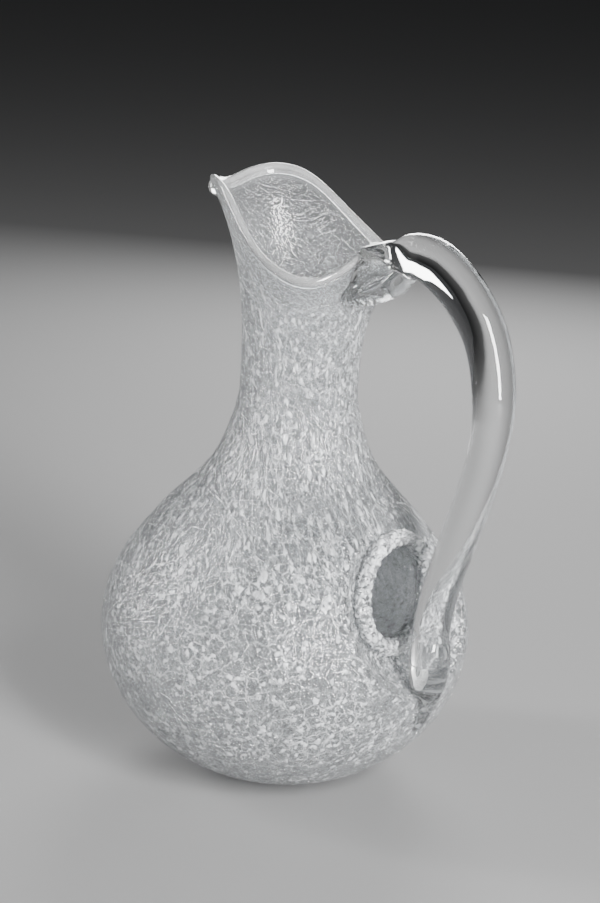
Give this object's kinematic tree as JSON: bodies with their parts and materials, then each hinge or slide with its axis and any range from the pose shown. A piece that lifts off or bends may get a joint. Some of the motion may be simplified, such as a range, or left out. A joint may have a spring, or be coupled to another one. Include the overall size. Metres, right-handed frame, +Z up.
{
  "type": "glass decanter",
  "caption": "Hand-blown crackle-glass decanter with a round body, slim neck, pouring spout, looped handle and an inner ice pocket opening on its side.",
  "frame": {"origin": "middle of the base, on the plane that the foot rests on", "axes": "+Z up along the neck's axis; the handle and the ice pocket are on +X, the spout is on -X, and Y=0 is the plane of symmetry"},
  "size_m": [0.199, 0.17, 0.274],
  "materials": {
    "crackle_glass": "clear glass with a dense network of fine healed cracks and a slightly rough outer surface",
    "clear_glass": "clear smooth fire-polished glass"
  },
  "bodies": {
    "root": {"vessel_shell": "crackle_glass", "ice_pocket": "crackle_glass", "lip_wrap": "clear_glass", "spout_bead": "clear_glass", "pocket_collar": "crackle_glass", "handle_rod": "clear_glass", "handle_curl": "clear_glass", "handle_foot_pad": "clear_glass"}
  },
  "joints": []
}
